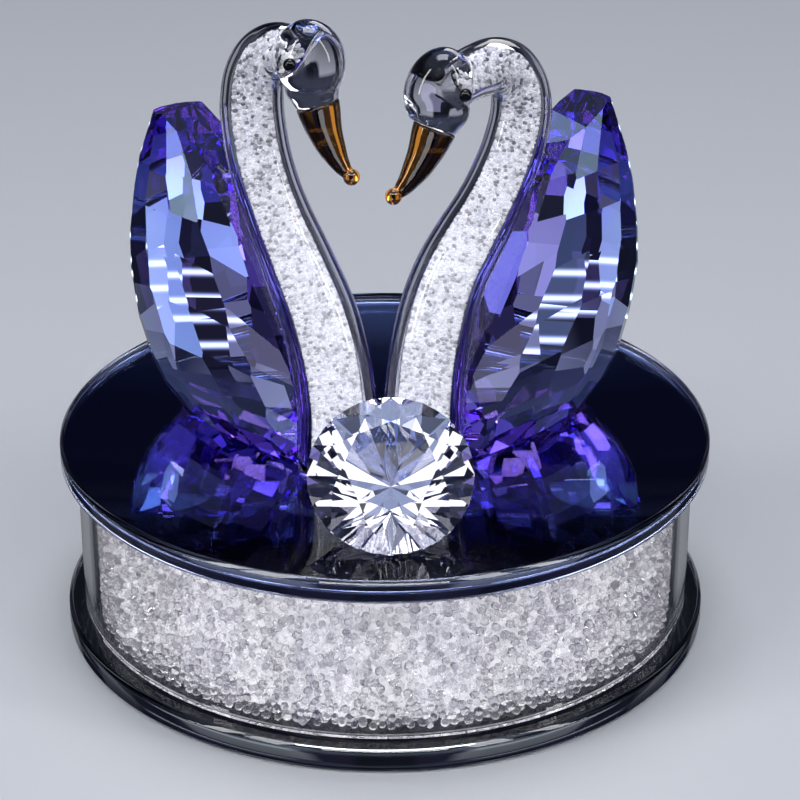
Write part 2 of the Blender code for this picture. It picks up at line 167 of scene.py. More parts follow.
# name: azimuth from the front and elevation in degrees, distance, width, height, radiance, tint and
# audience. It lights only the pieces in that audience, or all but those if the name starts with not
softboxes = {
    "leftStrip": (-64, 30, 0.85, 0.10, 0.85, 9.5, white, "notBodies"),
    "rightStrip": (66, 32, 0.90, 0.10, 0.85, 9.0, white, "notBodies"),
    "leftGleam": (-63, 27, 0.85, 0.12, 0.28, 7.0, ice, "bodies"),
    "rightGleam": (62, 32, 0.90, 0.10, 0.28, 5.0, ice, "bodies"),
    "overhead": (180, 78, 1.10, 0.55, 0.45, 7.0, white, "all"),
    "frontLeft": (-48, 50, 1.00, 0.20, 0.32, 8.0, white, "notFront"),
    "frontRight": (42, 48, 1.00, 0.20, 0.32, 8.0, white, "notFront"),
    "frontHigh": (0, 52, 1.00, 0.60, 0.12, 11.0, white, "notFront"),
    "backLeft": (-140, 58, 0.95, 0.18, 0.40, 3.2, ice, "bodies"),
    "backRight": (140, 58, 0.95, 0.18, 0.40, 3.2, ice, "bodies"),
    "leftPanel": (-34, 0, 1.00, 0.26, 0.70, 2.4, lilac, "bodies"),
    "rightPanel": (33, 0, 1.00, 0.24, 0.70, 2.2, lilac, "bodies"),
    "leftBehind": (170, -26, 1.00, 0.36, 0.46, 0.85, ice, "leftBody"),
    "leftUnder": (179, -45, 1.00, 0.42, 0.15, 2.4, ice, "leftBody"),
    "leftAside": (-147, -31, 1.00, 0.18, 0.30, 1.0, ice, "leftBody"),
    "rightBehind": (172, -26, 1.00, 0.22, 0.28, 0.16, ice, "rightBody"),
    "rightUnder": (168, -42, 1.00, 0.20, 0.18, 3.2, ice, "rightBody"),
    "rightAside": (150, -32, 1.00, 0.20, 0.40, 0.6, lilac, "rightBody"),
    "rightFar": (-160, -24, 1.00, 0.20, 0.36, 0.6, ice, "rightBody"),
    "louvred": (178, -21, 1.00, 0.95, 0.17, 3.2, (0.75, 0.88, 1.0), "bodies"),
    "gemFront": (0, 31, 0.80, 1.20, 0.26, 1.6, white, "gem"),
    "headHigh": (158, 33, 1.00, 0.60, 0.40, 4.5, white, "necks"),
    "headBehind": (168, -16, 1.00, 0.34, 0.20, 0.35, lilac, "necks"),
    "leftBeakEdge": (-132, -8, 1.00, 0.84, 0.50, 4.2, white, "leftBeak"),
    "rightBeakEdge": (132, -8, 1.00, 0.84, 0.50, 4.2, white, "rightBeak"),
    "leftBeakFront": (14, -13, 1.00, 0.40, 0.60, 3.6, white, "leftBeak"),
    "rightBeakFront": (-14, -13, 1.00, 0.40, 0.60, 3.6, white, "rightBeak"),
    "leftHigh": (-2, 54, 1.00, 0.30, 0.22, 1.5, ice, "leftBody"),
    "rightHigh": (10, 61, 1.00, 0.24, 0.22, 1.5, ice, "rightBody"),
    "leftNear": (-45, -20, 1.00, 0.50, 0.30, 0.8, ice, "leftBody"),
    "rightNear": (62, -18, 1.00, 0.35, 0.50, 0.7, ice, "rightBody"),
}


def makeCamera():
    camera = bpy.data.cameras.new("camera")
    camera.lens = studio["lens"]
    camera.sensor_width = studio["sensorWidth"]
    camera.clip_start = studio["nearest"]
    camera.clip_end = studio["farthest"]
    holder = bpy.data.objects.new("camera", camera)
    holder.location = studio["cameraPlace"]
    holder.rotation_euler = (math.radians(90 - studio["cameraPitch"]), 0, 0)
    bpy.context.scene.collection.objects.link(holder)
    bpy.context.scene.camera = holder


def makeFloor():
    bpy.ops.mesh.primitive_plane_add(size=studio["floorSize"],
                                     location=(0, 0, -studio["floorDrop"]))
    floor = bpy.context.object
    floor.name = "floor"
    material, shader, wire = newMaterial("paleFloor", Roughness=studio["floorRoughness"])
    tone = noiseOn(wire, 3.0, 3.0) * 0.06 + 0.97       # faint mottling
    colour = wire.node("ShaderNodeVectorMath", {"operation": "SCALE"},
                       i0=studio["floorTone"][:3], Scale=tone)
    feed(wire, shader, "Base Color", colour)
    floor.data.materials.append(material)
    floor.visible_transmission = False      # the glass shows the dim studio, not the floor
    floor.visible_glossy = False


audiences = {name: bpy.data.collections.new(name)
             for name in ("leftBody", "rightBody", "bodies", "gem", "necks", "leftBeak",
                          "rightBeak", "notFront", "notBodies")}


def seenBy(thing, *names):
    for name in names:
        audiences[name].objects.link(thing)
        if name.startswith("not"):
            for member in audiences[name].collection_objects:
                member.light_linking.link_state = "EXCLUDE"


def louvre(lamp):
    lamp.use_nodes = True
    wire = Wire(lamp.node_tree, None)
    onLamp = wire.node("ShaderNodeNewGeometry", out=5)         # Parametric, 0 to 1 over the lamp
    up = wire.node("ShaderNodeSeparateXYZ", out=1, Vector=onLamp)
    wave = up.math("COSINE", up * (2 * math.pi * studio["louvres"])) * 0.5 + 0.5
    slats = wave ** studio["louvreEdge"]
    lamp.node_tree.links.new(slats.mixed(black, clear).socket,
                             lamp.node_tree.nodes["Emission"].inputs["Color"])


def makeSoftboxes():
    middle = Vector((0, 0, studio["aimHeight"]))
    for name, values in softboxes.items():
        azimuth, elevation, distance, width, height, radiance, tint, audience = values
        lamp = bpy.data.lights.new(name, "AREA")
        lamp.shape = "RECTANGLE"
        lamp.size = width
        lamp.size_y = height
        lamp.energy = radiance * math.pi * width * height
        lamp.color = tint
        holder = bpy.data.objects.new(name, lamp)
        around = math.radians(azimuth)
        above = math.radians(elevation)
        towards = Vector((math.sin(around) * math.cos(above), -math.cos(around) * math.cos(above),
                          math.sin(above)))
        holder.location = middle + towards * distance
        holder.rotation_euler = towards.to_track_quat("Z", "Y").to_euler()
        bpy.context.scene.collection.objects.link(holder)
        if name == "louvred":
            louvre(lamp)
        if audience in audiences:
            holder.light_linking.receiver_collection = audiences[audience]


def makeSky():
    world = bpy.data.worlds.new("studioAir")
    bpy.context.scene.world = world
    world.use_nodes = True
    wire = Wire(world.node_tree, None)
    background = world.node_tree.nodes["Background"]
    direction = wire.node("ShaderNodeTexCoord", out=0)
    height = wire.node("ShaderNodeSeparateXYZ", out=2, Vector=direction)
    rise = height * 0.5 + 0.5              # 0 straight down, 1 straight up
    sky = wire.node("ShaderNodeValToRGB", Fac=rise, stops=(
        (0.0, studio["skyUnder"]), (0.42, studio["skyUnder"]), (0.50, studio["skyLow"]),
        (0.57, studio["skyLow"]), (0.63, studio["skyBand"]), (0.80, studio["skyBand"]),
        (0.90, studio["skyDome"])))
    parts = direction.node("ShaderNodeSeparateXYZ", Vector=direction).socket.node.outputs
    across = Wire(wire.tree, parts["X"])
    along = Wire(wire.tree, parts["Y"])
    around = across.math("ARCTAN2", across, along) * studio["panelsAround"]
    stripe = 0.5 - 0.5 * around.math("COSINE", around)
    reach = wire.node("ShaderNodeValToRGB", Fac=rise, stops=(
        (0.06, black), (0.12, (0.2, 0.2, 0.2, 1.0)), (0.44, clear), (0.48, black)))
    panels = wire.node("ShaderNodeValToRGB", Fac=stripe, stops=((0.38, black), (0.55, clear)))
    behind = along.math("GREATER_THAN", along, 0.0)
    lit = reach * panels * (along * along * studio["panelGain"] + studio["panelBase"])
    tone = behind.mixed(studio["panelFront"], studio["panelTone"])
    world.node_tree.links.new(lit.mixed(sky, tone).socket, background.inputs["Color"])


makeCamera()
makeFloor()
makeSoftboxes()
makeSky()
scene = bpy.context.scene
scene.view_settings.view_transform = "Standard"
scene.view_settings.exposure = studio["exposure"]
scene.cycles.max_bounces = 20
scene.cycles.transmission_bounces = 20
scene.cycles.glossy_bounces = 14
scene.cycles.diffuse_bounces = 3
scene.cycles.use_adaptive_sampling = True
scene.cycles.adaptive_threshold = 0.02
scene.cycles.sample_clamp_indirect = 6.0
scene.cycles.blur_glossy = 0.3
print("studio ready")


# Shared mesh work

meshLimits = {
    "onAxis": 1e-7,                # metres from the axis that still count as on it
    "tubeMerge": 1e-6,
    "nodeMerge": 2e-6,
    "flatWithin": 0.5,             # degrees between triangles of one facet
    "sharpFrom": 30.0,             # degrees
}


def freshObject(name, bm, smooth=False):
    mesh = bpy.data.meshes.new(name)
    bm.to_mesh(mesh)
    bm.free()
    thing = bpy.data.objects.new(name, mesh)
    scene.collection.objects.link(thing)
    if smooth:
        mesh.shade_smooth()
    return thing


def bakedMesh(thing):
    graph = bpy.context.evaluated_depsgraph_get()
    return bpy.data.meshes.new_from_object(thing.evaluated_get(graph))


def settle(thing):
    mesh = bakedMesh(thing)
    mesh.transform(thing.matrix_world)
    thing.modifiers.clear()
    thing.data = mesh
    thing.matrix_world = Matrix.Identity(4)
    return thing


def discard(*things):
    for thing in things:
        bpy.data.objects.remove(thing, do_unlink=True)


def present(thing, material, slot, *nodes):
    thing.data.materials.clear()
    thing.data.materials.append(material)
    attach(thing, "root")
    if nodes:
        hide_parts(*nodes)
    return thing


def turned(name, profile, sides, loop=False):
    bm = bmesh.new()
    rings = []
    for radius, height in profile:
        if radius < meshLimits["onAxis"]:
            rings.append([bm.verts.new((0, 0, height))])
            continue
        rings.append([bm.verts.new((radius * math.cos(turn * 2 * math.pi / sides),
                                    radius * math.sin(turn * 2 * math.pi / sides), height))
                      for turn in range(sides)])
    pairs = list(zip(rings, rings[1:]))
    if loop:
        pairs.append((rings[-1], rings[0]))
    for lower, upper in pairs:
        for turn in range(sides):
            after = (turn + 1) % sides
            corners = [lower[turn % len(lower)], lower[after % len(lower)],
                       upper[after % len(upper)], upper[turn % len(upper)]]
            corners = list(dict.fromkeys(corners))
            bm.faces.new(corners)
    bmesh.ops.recalc_face_normals(bm, faces=bm.faces[:])
    return freshObject(name, bm)


def partlySmooth(thing):
    thing.data.shade_smooth()
    thing.data.set_sharp_from_angle(angle=math.radians(meshLimits["sharpFrom"]))


def softened(corners, radius, steps=3):
    points = []
    for place, corner in enumerate(corners):
        here = Vector(corner)
        if place in (0, len(corners) - 1) or here.x < meshLimits["onAxis"]:
            points.append(tuple(here))
            continue
        back = (Vector(corners[place - 1]) - here).normalized() * radius
        ahead = (Vector(corners[place + 1]) - here).normalized() * radius
        for step in range(steps + 1):
            share = step / steps
            points.append(tuple(here + back * (1 - share) ** 2 + ahead * share ** 2))
    return points


def smoothTube(name, line, sides, steps):
    curve = bpy.data.curves.new(name, "CURVE")
    curve.dimensions = "3D"
    curve.bevel_depth = 1.0
    curve.bevel_resolution = (sides - 4) // 2
    curve.use_fill_caps = True
    curve.resolution_u = steps
    curve.twist_mode = "MINIMUM"
    spline = curve.splines.new("BEZIER")
    spline.bezier_points.add(len(line) - 1)
    for point, (forward, height, radius) in zip(spline.bezier_points, line):
        point.co = (forward, 0, height)
        point.radius = radius
        point.handle_left_type = "AUTO"
        point.handle_right_type = "AUTO"
    spline.radius_interpolation = "CARDINAL"
    source = bpy.data.objects.new(name, curve)
    scene.collection.objects.link(source)
    bm = bmesh.new()
    bm.from_mesh(bakedMesh(source))
    bmesh.ops.remove_doubles(bm, verts=bm.verts[:], dist=meshLimits["tubeMerge"])
    bmesh.ops.recalc_face_normals(bm, faces=bm.faces[:])
    discard(source)
    return freshObject(name, bm)


def joinSolid(thing, other, operation):
    cut = thing.modifiers.new(other.name, "BOOLEAN")
    cut.operation = operation
    cut.solver = "EXACT"
    cut.object = other


def meltTogether(thing, voxel, rounds):
    melt = thing.modifiers.new("melt", "REMESH")
    melt.mode = "VOXEL"
    melt.voxel_size = voxel
    polish = thing.modifiers.new("polish", "SMOOTH")
    polish.factor = 0.5
    polish.iterations = rounds


def facetedCopy(name, node):
    bm = bmesh.new()
    bm.from_mesh(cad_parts[node].data)
    bmesh.ops.remove_doubles(bm, verts=bm.verts[:], dist=meshLimits["nodeMerge"])
    bmesh.ops.dissolve_limit(bm, angle_limit=math.radians(meshLimits["flatWithin"]),
                             verts=bm.verts[:], edges=bm.edges[:])
    bmesh.ops.recalc_face_normals(bm, faces=bm.faces[:])
    return freshObject(name, bm)


# Finishes

glassValues = {
    "clearTint": (0.95, 0.95, 0.96, 1.0),
    "bottomTint": (0.48, 0.52, 0.54, 1.0),
    "topTint": (0.55, 0.62, 0.86, 1.0),
    "clearIndex": 1.50,
    "violetIndex": 1.54,
    "violetThrough": (0.72, 0.45, 0.93, 1.0),
    "violetDensity": 40.0,
    "neckIndex": 1.48,
    "amberIndex": 1.5,
    "chipIndex": 1.5,
    "beadIndex": 1.42,
    "diamondIndex": 1.64,
    "diamondThrough": (0.60, 0.55, 1.0, 1.0),
    "diamondDensity": 9.0,
    "neckTint": (0.64, 0.65, 0.71, 1.0),
    "bodyTint": (0.66, 0.90, 1.0, 1.0),
    "crownTint": (0.34, 0.22, 0.74, 1.0),
    "crownFoot": 0.078,            # height where the bodies start to turn to the crown's tint
    "crownDepth": 0.012,
    "smudgeScale": 180.0,
    "smudgeDepth": 0.05,
    "filmTints": ((0.72, 0.74, 0.82, 1.0), (0.78, 0.80, 0.86, 1.0)),
    "roundTints": ((0.62, 0.61, 0.64, 1.0), (1.0, 0.99, 0.99, 1.0)),
    "roundLights": ((0.20, 0.20, 0.22, 1.0), (1.4, 1.4, 1.45, 1.0)),
    "amberTint": (0.11, 0.045, 0.006, 1.0),
    "ballTint": (1.0, 0.36, 0.04, 1.0),
    "beadTint": (0.003, 0.003, 0.004, 1.0),
    "sharpThrough": 0.35,          # share of light that the necks' chips let through
    "paintedLightFull": 0.080,            # painted light: below the next height the necks' chips are painted paler and glow more, fully by here, as if lit more brightly lower down
    "paintedLightStart": 0.105,
    "roundGlow": 0.07,             # chips give off a little light, as packed crystal looks lit
    "sharpGlow": 0.28,
    "heartGlow": 0.80,
}


def glassMaterial(name, tint, index, waviness=0.0, waveScale=60.0):
    material, shader, wire = newMaterial(name, Base_Color=tint, IOR=index, Transmission_Weight=1.0)
    smudge = noiseOn(wire, glassValues["smudgeScale"], 3.0)
    feed(wire, shader, "Roughness", smudge ** 6.0 * glassValues["smudgeDepth"])
    if waviness:
        bumped(wire, shader, noiseOn(wire, waveScale, 1.0), 0.5, waviness)
    return material


def soaked(material, through, density):
    tree = material.node_tree
    soak = tree.nodes.new("ShaderNodeVolumeAbsorption")
    soak.inputs["Color"].default_value = through
    soak.inputs["Density"].default_value = density
    tree.links.new(soak.outputs[0], tree.nodes["Material Output"].inputs["Volume"])


def violetCrystal():
    material = glassMaterial("violetCrystal", clear, glassValues["violetIndex"])
    tree = material.node_tree
    wire = Wire(tree, None)
    height = wire.node("ShaderNodeSeparateXYZ", out=2, Vector=objectPlace(wire))
    crown = (height - glassValues["crownFoot"]) / glassValues["crownDepth"]
    shade = crown.node("ShaderNodeValToRGB", Fac=crown, stops=(
        (0.0, glassValues["bodyTint"]), (1.0, glassValues["crownTint"])))
    feed(wire, tree.nodes["Principled BSDF"], "Base Color", shade)
    soaked(material, glassValues["violetThrough"], glassValues["violetDensity"])
    return material


def amberGlassMaterial():
    material = glassMaterial("amberBeakGlass", clear, glassValues["amberIndex"], 0.05 * mm, 200.0)
    wire = Wire(material.node_tree, None)
    tip = wire.node("ShaderNodeAttribute", {"attribute_name": "tip"}, out=2)
    feed(wire, material.node_tree.nodes["Principled BSDF"], "Base Color",
         tip.mixed(glassValues["amberTint"], glassValues["ballTint"]))
    return material


def mirrorFilm():
    material, shader, wire = newMaterial("mirrorFilm", Metallic=1.0)
    speck = noiseOn(wire, 900.0, 2.0)
    feed(wire, shader, "Roughness", speck ** 4.0 * 0.06)
    feed(wire, shader, "Base Color", noiseOn(wire, 25.0, 2.0).mixed(*glassValues["filmTints"]))
    return material


def roundCrystal():
    material, shader, wire = newMaterial("roundCrystal", IOR=glassValues["chipIndex"],
                                         Roughness=0.03, Transmission_Weight=1.0,
                                         Emission_Strength=glassValues["roundGlow"])
    tone = wire.node("ShaderNodeAttribute", {"attribute_name": "chipTone"}, out=2)
    feed(wire, shader, "Base Color", tone.mixed(*glassValues["roundTints"]))
    feed(wire, shader, "Emission Color", (tone ** 3.0).mixed(*glassValues["roundLights"]))
    return material


def crushedCrystal():
    material, shader, wire = newMaterial("crushedCrystal", IOR=glassValues["chipIndex"],
                                         Roughness=0.06,
                                         Transmission_Weight=glassValues["sharpThrough"],
                                         Emission_Strength=glassValues["sharpGlow"])
    tone = wire.node("ShaderNodeAttribute", {"attribute_name": "chipTone"}, out=2)
    # painted light: the lower neck chips are painted paler and made to glow more, as if lit more
    # brightly
    height = wire.node("ShaderNodeSeparateXYZ", out=2, Vector=objectPlace(wire))
    low = wire.node("ShaderNodeMapRange", Value=height, From_Min=glassValues["paintedLightStart"],
                    From_Max=glassValues["paintedLightFull"])
    flecks = tone.node("ShaderNodeValToRGB", Fac=tone, stops=(
        (0.0, (0.08, 0.08, 0.09, 1.0)), (0.14, (0.40, 0.40, 0.43, 1.0)),
        (0.32, (0.92, 0.92, 0.94, 1.0)), (1.0, clear)))
    feed(wire, shader, "Base Color", (low * 0.40).mixed(flecks, clear))
    # painted light: the chips glow, those with a higher random tone brighter as painted glints, and
    # the lower ones more
    sparkle = (tone ** 2.0) * 1.7 + 0.5
    glow = (low * 0.75 + 0.4) * sparkle
    feed(wire, shader, "Emission Color", glow.mixed(black, clear))
    return material


def chipHeart():
    # painted light: an opaque core that gives off light, standing in for lit chips packed further in
    material, shader, wire = newMaterial("glowingPackedChips", Roughness=0.4,
                                         Emission_Strength=glassValues["heartGlow"])
    grain = noiseOn(wire, 700.0, 4.0, 0.7)
    tone = grain.node("ShaderNodeValToRGB", Fac=grain, stops=(
        (0.30, (0.35, 0.35, 0.40, 1.0)), (0.65, (0.92, 0.92, 0.95, 1.0))))
    feed(wire, shader, "Base Color", tone)
    feed(wire, shader, "Emission Color", tone)
    return material


def blackBead():
    material, shader, wire = newMaterial("blackBead", Base_Color=glassValues["beadTint"],
                                         IOR=glassValues["beadIndex"])
    feed(wire, shader, "Roughness", noiseOn(wire, 900.0, 2.0) * 0.08 + 0.02)
    return material


clearGlass = glassMaterial("clearDrumGlass", glassValues["clearTint"], glassValues["clearIndex"])
bottomGlass = glassMaterial("thickPlateGlass", glassValues["bottomTint"], glassValues["clearIndex"])
topGlass = glassMaterial("bluePlateGlass", glassValues["topTint"], glassValues["clearIndex"])
neckGlass = glassMaterial("blownNeckGlass", glassValues["neckTint"], glassValues["neckIndex"],
                          0.03 * mm, 40.0)
amberGlass = amberGlassMaterial()
brilliant = glassMaterial("brilliantGlass", clear, glassValues["diamondIndex"])
soaked(brilliant, glassValues["diamondThrough"], glassValues["diamondDensity"])
violet = violetCrystal()
film = mirrorFilm()
roundGrit = roundCrystal()
sharpGrit = crushedCrystal()
heart = chipHeart()
bead = blackBead()
print("finishes ready")


# Loose chips: points over a surface, one small crystal on each

chipTreeValues = {
    "seedStep": 7,                 # from one layer's seed to the next
    "tilt": 2 * math.pi,
    "densest": 3.0e6,              # points per square metre, before the spacing thins them
    "smallest": (0.78, 0.78, 0.70),
    "largest": (1.12, 1.12, 1.12),
}


def chipTree(name, material, chipSides, chipRings):
    tree = bpy.data.node_groups.new(name, "GeometryNodeTree")
    face = tree.interface
    face.new_socket("Geometry", in_out="INPUT", socket_type="NodeSocketGeometry")
    for label in ("Spacing", "Chip Size"):
        socket = face.new_socket(label, in_out="INPUT", socket_type="NodeSocketFloat")
        socket.default_value = 1.0 * mm
    face.new_socket("Seed", in_out="INPUT", socket_type="NodeSocketInt")
    face.new_socket("Geometry", in_out="OUTPUT", socket_type="NodeSocketGeometry")
    nodes = tree.nodes
    links = tree.links
    start = nodes.new("NodeGroupInput").outputs
    end = nodes.new("NodeGroupOutput")
    scatter = nodes.new("GeometryNodeDistributePointsOnFaces")
    scatter.distribute_method = "POISSON"
    links.new(start["Geometry"], scatter.inputs["Mesh"])
    links.new(start["Spacing"], scatter.inputs["Distance Min"])
    scatter.inputs["Density Max"].default_value = chipTreeValues["densest"]
    links.new(start["Seed"], scatter.inputs["Seed"])
    grain = nodes.new("GeometryNodeMeshUVSphere")
    grain.inputs["Segments"].default_value = chipSides
    grain.inputs["Rings"].default_value = chipRings
    grain.inputs["Radius"].default_value = 0.5
    placed = nodes.new("GeometryNodeInstanceOnPoints")
    links.new(scatter.outputs["Points"], placed.inputs["Points"])
    links.new(grain.outputs["Mesh"], placed.inputs["Instance"])
    turn = nodes.new("FunctionNodeRandomValue")
    turn.data_type = "FLOAT_VECTOR"
    turn.inputs[1].default_value = (chipTreeValues["tilt"],) * 3
    links.new(start["Seed"], turn.inputs["Seed"])
    links.new(turn.outputs[0], placed.inputs["Rotation"])
    size = nodes.new("FunctionNodeRandomValue")
    size.data_type = "FLOAT_VECTOR"
    size.inputs[0].default_value = chipTreeValues["smallest"]
    size.inputs[1].default_value = chipTreeValues["largest"]
    links.new(start["Seed"], size.inputs["Seed"])
    scaled = nodes.new("ShaderNodeVectorMath")
    scaled.operation = "SCALE"
    links.new(size.outputs[0], scaled.inputs[0])
    links.new(start["Chip Size"], scaled.inputs["Scale"])
    links.new(scaled.outputs[0], placed.inputs["Scale"])
    tone = nodes.new("FunctionNodeRandomValue")
    tone.data_type = "FLOAT"
    links.new(start["Seed"], tone.inputs["Seed"])
    keep = nodes.new("GeometryNodeStoreNamedAttribute")
    keep.domain = "INSTANCE"
    keep.inputs["Name"].default_value = "chipTone"
    links.new(placed.outputs["Instances"], keep.inputs["Geometry"])
    links.new(tone.outputs[1], keep.inputs["Value"])
    real = nodes.new("GeometryNodeRealizeInstances")
    links.new(keep.outputs["Geometry"], real.inputs["Geometry"])
    finish = nodes.new("GeometryNodeSetMaterial")
    finish.inputs["Material"].default_value = material
    links.new(real.outputs["Geometry"], finish.inputs["Geometry"])
    links.new(finish.outputs["Geometry"], end.inputs["Geometry"])
    return tree


def setInputs(modifier, tree, values):
    for item in tree.interface.items_tree:
        if item.in_out == "INPUT" and item.name in values:
            modifier[item.identifier] = values[item.name]


def chipLayer(name, surface, tree, values):
    modifier = surface.modifiers.new("chips", "NODES")
    modifier.node_group = tree
    setInputs(modifier, tree, values)
    settle(surface)
    surface.name = name
    return surface


def joined(name, things):
    bm = bmesh.new()
    for thing in things:
        bm.from_mesh(thing.data)
    result = freshObject(name, bm)
    discard(*things)
    return result


roundChips = chipTree("roundChips", roundGrit, 6, 4)
innerChips = chipTree("innerChips", roundGrit, 5, 3)
sharpChips = chipTree("sharpChips", sharpGrit, 5, 3)


# Round base: two plates, the drum's glass wall, the mirror film and the chips

base = {
    "sides": 240,
    "chamfer": 0.7 * mm,
    "softEdge": 0.14 * mm,
    "wallGap": 0.3 * mm,           # between the chips' solid and the drum's glass
    "wallEdge": 0.25 * mm,
    "filmThickness": 0.06 * mm,
    "filmGap": 0.08 * mm,
    "filmMargin": 0.9 * mm,
    "chipSize": 1.75 * mm,
    "chipSpacing": 1.32 * mm,
    "seed": 3,
    "layers": (("drumChipsOuter", 1.0), ("drumChipsInner", 0.75)),    # name, share of the size
    "skirtFrom": 0.6,              # share of the radius where the chips on the floor begin
    "lidInset": 0.6,               # in chip sizes, as the next three are
    "firstInset": 0.55,
    "layerStep": 0.8,
    "heartOverlap": 0.1,
    "heartFloor": 0.9 * mm,
    "heartLid": 0.1 * mm,
    "chipSides": 120,
}


def makePlate(name, node, glass, slot):
    low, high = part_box(node)
    radius = high.x
    cut = base["chamfer"]
    corners = ((0, low.z), (radius - cut, low.z), (radius, low.z + cut), (radius, high.z - cut),
               (radius - cut, high.z), (0, high.z))
    plate = turned(name, softened(corners, base["softEdge"]), base["sides"])
    partlySmooth(plate)
    return present(plate, glass, slot, node)


def drumRadii():
    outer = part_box("drum_wall")[1].x
    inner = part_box("drum_crystal_chips")[1].x
    return outer, inner


def makeDrumWall():
    low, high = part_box("drum_wall")
    outer, inner = drumRadii()
    inner += base["wallGap"]
    edge = base["wallEdge"]
    profile = [(inner + edge, low.z), (outer - edge, low.z), (outer, low.z + edge),
               (outer, high.z - edge), (outer - edge, high.z), (inner + edge, high.z),
               (inner, high.z - edge), (inner, low.z + edge)]
    wall = turned("drumWall", profile, base["sides"], loop=True)
    partlySmooth(wall)
    present(wall, clearGlass, "clear_glass", "drum_wall")
    wall.visible_shadow = False             # the lamps reach the chips behind the glass


def makeFilm():
    low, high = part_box("top_plate")
    radius = high.x - base["filmMargin"]
    top = low.z - base["filmGap"]
    profile = [(0, top - base["filmThickness"]), (radius, top - base["filmThickness"]),
               (radius, top), (0, top)]
    present(turned("mirrorCoating", profile, base["sides"]), film, "mirror_glass")


def makeDrumChips():
    low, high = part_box("drum_crystal_chips")
    radius = high.x
    size = base["chipSize"]
    layers = []
    for layer, (name, share) in enumerate(base["layers"]):
        inset = size * (base["firstInset"] + base["layerStep"] * layer)
        floor = low.z + inset
        lid = high.z - size * base["lidInset"]
        shell = turned("shell", [(radius * base["skirtFrom"], floor), (radius - inset, floor),
                                 (radius - inset, lid)], base["chipSides"])
        tree = roundChips if layer == 0 else innerChips
        layers.append(chipLayer(name, shell, tree, {
            "Spacing": base["chipSpacing"], "Chip Size": size * share,
            "Seed": base["seed"] + layer * chipTreeValues["seedStep"]}))
    outer, inner = layers
    outer.data.shade_smooth()
    present(outer, roundGrit, "crystal_chips", "drum_crystal_chips")
    present(inner, roundGrit, "crystal_chips")
    for mass in layers:
        print(mass.name, len(mass.data.polygons), "faces")
    core = (radius - size * (base["firstInset"] + base["layerStep"] * len(layers))
            + size * base["heartOverlap"])
    floor = low.z + base["heartFloor"]
    lid = high.z - base["heartLid"]
    profile = [(0, floor), (core, floor), (core, lid), (0, lid)]
    present(turned("drumChipHeart", profile, base["sides"]), heart, "crystal_chips")


makePlate("bottomPlate", "bottom_plate", bottomGlass, "clear_glass")
makePlate("topPlate", "top_plate", topGlass, "mirror_glass")
makeDrumWall()
makeFilm()
makeDrumChips()
print("base ready")


# Cut pieces

gem = facetedCopy("diamondBrilliant", "diamond")
present(gem, brilliant, "diamond_crystal", "diamond")
seenBy(gem, "gem", "notFront")
for side in ("left", "right"):
    body = facetedCopy(side + "SwanBody", side + "_swan_body")
    present(body, violet, "blue_crystal", side + "_swan_body")
    seenBy(body, "bodies", side + "Body", "notFront", "notBodies")
print("cut crystal ready")


# Swans: neck and head in one, in hundredths of the swan's height, as the solids are

swanUnit = 0.82 * mm
beakLine = ((0.0, 0.0, 4.6), (5.4, 0.1, 3.7), (10.2, 0.9, 2.75), (14.0, 2.2, 1.75),
            (16.0, 3.5, 1.2))
faceStub = ((6.5, 1.15), (4.0, 1.25), (1.8, 1.12), (0.0, 1.0))
swans = {
    "left": {
        "faces": 1, "turn": -45.0,
        "neck": ((0.0, 0.0, 8.65), (-0.3, 17.2, 8.6), (-4.2, 32.4, 8.5), (-11.6, 45.3, 7.9),
                 (-17.9, 55.0, 7.2), (-22.4, 64.0, 7.0), (-24.6, 72.4, 6.9), (-25.0, 79.0, 6.75),
                 (-23.2, 86.1, 6.3), (-19.2, 90.5, 5.9), (-15.0, 92.0, 5.7), (-9.8, 92.3, 5.0)),
        "head": (-6.8, 91.8), "headHalfLength": 8.5, "headRadius": 7.3, "headTilt": 75.0,
        "headTurn": 17.0, "beakRoot": (1.5, -9.0), "beakTilt": 74.0,
        "cavityEnd": (-10.6, 91.4),
    },
    "right": {
        "faces": -1, "turn": 225.0,
        "neck": ((0.0, 0.0, 8.65), (0.0, 17.5, 8.6), (-2.9, 33.1, 8.5), (-7.4, 43.3, 8.1),
                 (-12.8, 49.8, 7.7), (-18.7, 56.0, 7.1), (-23.7, 62.5, 6.85), (-27.4, 69.4, 6.7),
                 (-29.0, 76.6, 6.5), (-27.2, 82.9, 6.1), (-22.4, 87.0, 5.8), (-16.1, 87.6, 5.7),
                 (-7.5, 86.4, 5.1)),
        "head": (-3.6, 86.6), "headHalfLength": 8.7, "headRadius": 6.8, "headTilt": 64.0,
        "headTurn": 17.0, "beakRoot": (0.6, -8.2), "beakTilt": 66.5,
        "cavityEnd": (-8.6, 86.0),
    },
}
neckLook = {
    "footBand": 0.5 * mm,          # the solid's lowest points, whose middle places the swan
    "sides": 56,
    "steps": 10,
    "boreSides": 36,
    "boreShare": 0.68,             # the hollow's share of the neck's thickness
    "boreEndShare": 0.8,
    "floorGlass": 1.2,             # solid glass under the hollow, in swan units
    "headSegments": 56,
    "headRings": 36,
    "stubSides": 40,
    "stubSteps": 8,
    "seatSides": 32,
    "seatDepth": 8.0,              # in swan units
    "voxel": 0.28 * mm,
    "polish": 8,
    "chipSize": 0.80 * mm,
    "chipSpacing": 0.48 * mm,
    "seed": 11,
    "layers": 2,
    "firstInset": 0.6,             # in chip sizes, as the next two are
    "layerStep": 0.75,
    "heartOverlap": 0.3,
}
beakLook = {
    "gap": 0.3 * mm,
    "sides": 40,
    "steps": 10,
    "voxel": 0.14 * mm,
    "polish": 4,
    "ballRadius": 1.45 * mm,
    "ballReach": 1.9 * mm,         # glass this near the ball's middle has its colour
    "ballSegments": 32,
    "ballRings": 24,
}
eyeLook = {"segments": 32, "rings": 20}


